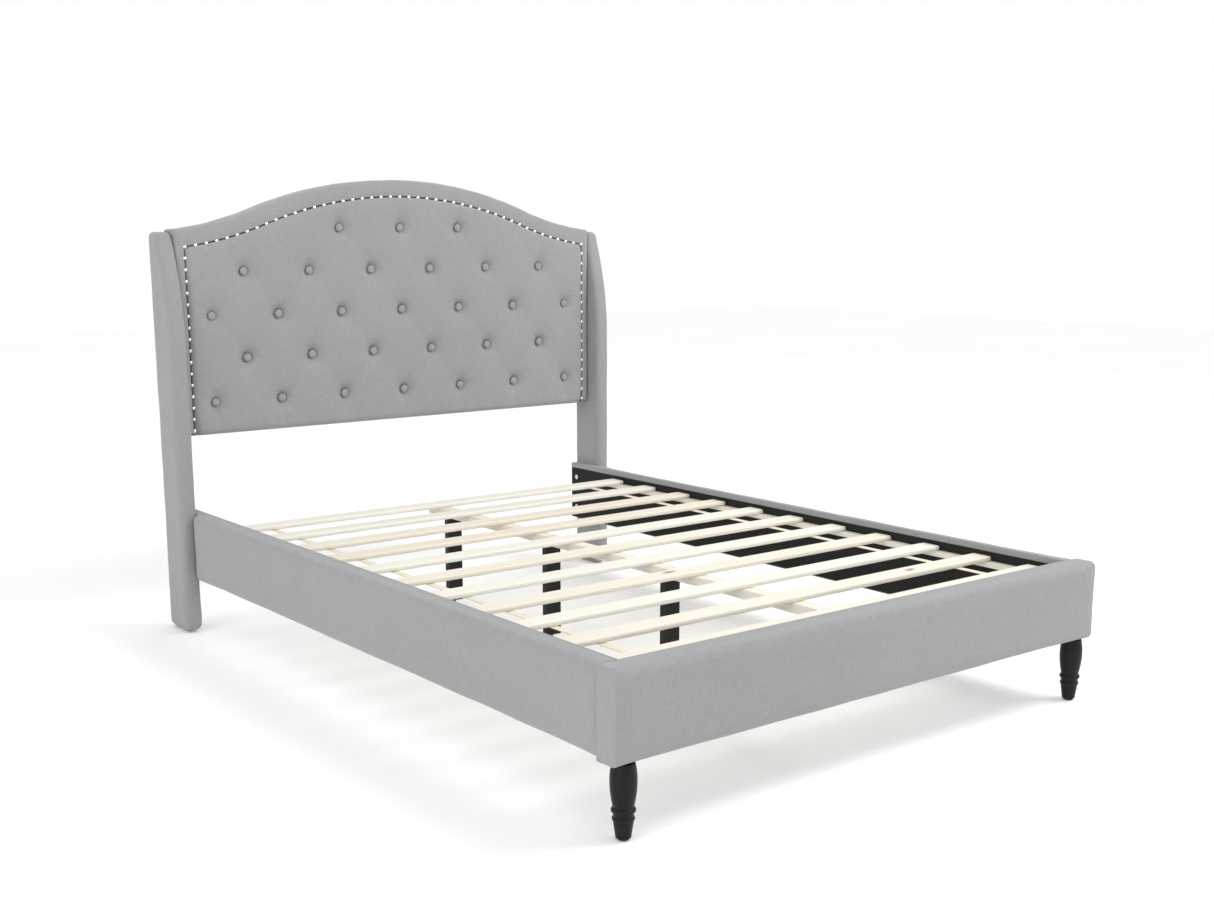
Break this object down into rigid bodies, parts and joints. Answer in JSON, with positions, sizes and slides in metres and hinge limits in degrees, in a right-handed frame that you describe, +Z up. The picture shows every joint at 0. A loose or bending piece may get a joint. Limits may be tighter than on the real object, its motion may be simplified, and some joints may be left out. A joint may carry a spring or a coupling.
{
  "type": "upholstered wingback bed frame",
  "caption": "Upholstered bed frame with a camelback, button-tufted, nail-trimmed headboard between floor-length wings, padded rails, pine slats, turned front legs and a centre beam.",
  "frame": {"origin": "on the floor, under the middle of the whole bed's outline", "axes": "+X to the right seen from the foot, +Y towards the headboard, +Z up"},
  "size_m": [1.542, 2.09, 1.292],
  "materials": {
    "grey_linen": "woven, matte",
    "black_lining": "non-woven, matte",
    "pine": "planed, unfinished",
    "frame_timber": "rough sawn",
    "plywood": "raw plywood",
    "black_lacquer": "satin lacquer",
    "zinc_steel": "zinc plated",
    "black_steel": "powder coat",
    "nickel_nail": "polished nickel",
    "nylon": "moulded",
    "webbing": "woven tape"
  },
  "bodies": {
    "root": {"beam_bracket": "black_steel", "beam_screws": "zinc_steel", "border_band": "grey_linen", "center_beam": "pine", "center_leg_1": "black_lacquer", "center_leg_2": "black_lacquer", "center_leg_3": "black_lacquer", "center_leg_screws": "zinc_steel", "corner_bolts": "zinc_steel", "corner_brackets": "black_steel", "floor_glides": "nylon", "foot_rail_board": "frame_timber", "foot_rail_cover": "grey_linen", "foot_rail_lining": "black_lining", "front_leg_left": "black_lacquer", "front_leg_right": "black_lacquer", "headboard_back_cloth": "black_lining", "headboard_bolts": "zinc_steel", "headboard_bottom_rail": "frame_timber", "headboard_mid_rail": "frame_timber", "headboard_panel": "plywood", "headboard_stile_left": "frame_timber", "headboard_stile_right": "frame_timber", "headboard_top_rail": "frame_timber", "leg_hanger_bolts": "zinc_steel", "leveling_inserts": "zinc_steel", "nailhead_trim": "nickel_nail", "rail_head_bolts": "zinc_steel", "side_rail_board_left": "frame_timber", "side_rail_board_right": "frame_timber", "side_rail_cover_left": "grey_linen", "side_rail_cover_right": "grey_linen", "side_rail_lining_left": "black_lining", "side_rail_lining_right": "black_lining", "slat_01": "pine", "slat_02": "pine", "slat_03": "pine", "slat_04": "pine", "slat_05": "pine", "slat_06": "pine", "slat_07": "pine", "slat_08": "pine", "slat_09": "pine", "slat_10": "pine", "slat_11": "pine", "slat_ledger_left": "pine", "slat_ledger_right": "pine", "slat_straps": "webbing", "tee_nuts": "zinc_steel", "threaded_inserts": "zinc_steel", "tuft_buttons": "grey_linen", "tuft_washers": "zinc_steel", "tufted_pad": "grey_linen", "wing_core_left": "frame_timber", "wing_core_right": "frame_timber", "wing_cover_left": "grey_linen", "wing_cover_right": "grey_linen"},
    "leveling_foot_1": {"leveling_foot_1": "nylon"},
    "leveling_foot_2": {"leveling_foot_2": "nylon"},
    "leveling_foot_3": {"leveling_foot_3": "nylon"}
  },
  "joints": [
    {"name": "leveling_foot_1_screw", "type": "slide", "parent": "root", "child": "leveling_foot_1", "axis": [0, 0, 1], "range_m": [0, 0.015]},
    {"name": "leveling_foot_2_screw", "type": "slide", "parent": "root", "child": "leveling_foot_2", "axis": [0, 0, 1], "range_m": [0, 0.015]},
    {"name": "leveling_foot_3_screw", "type": "slide", "parent": "root", "child": "leveling_foot_3", "axis": [0, 0, 1], "range_m": [0, 0.015]}
  ]
}
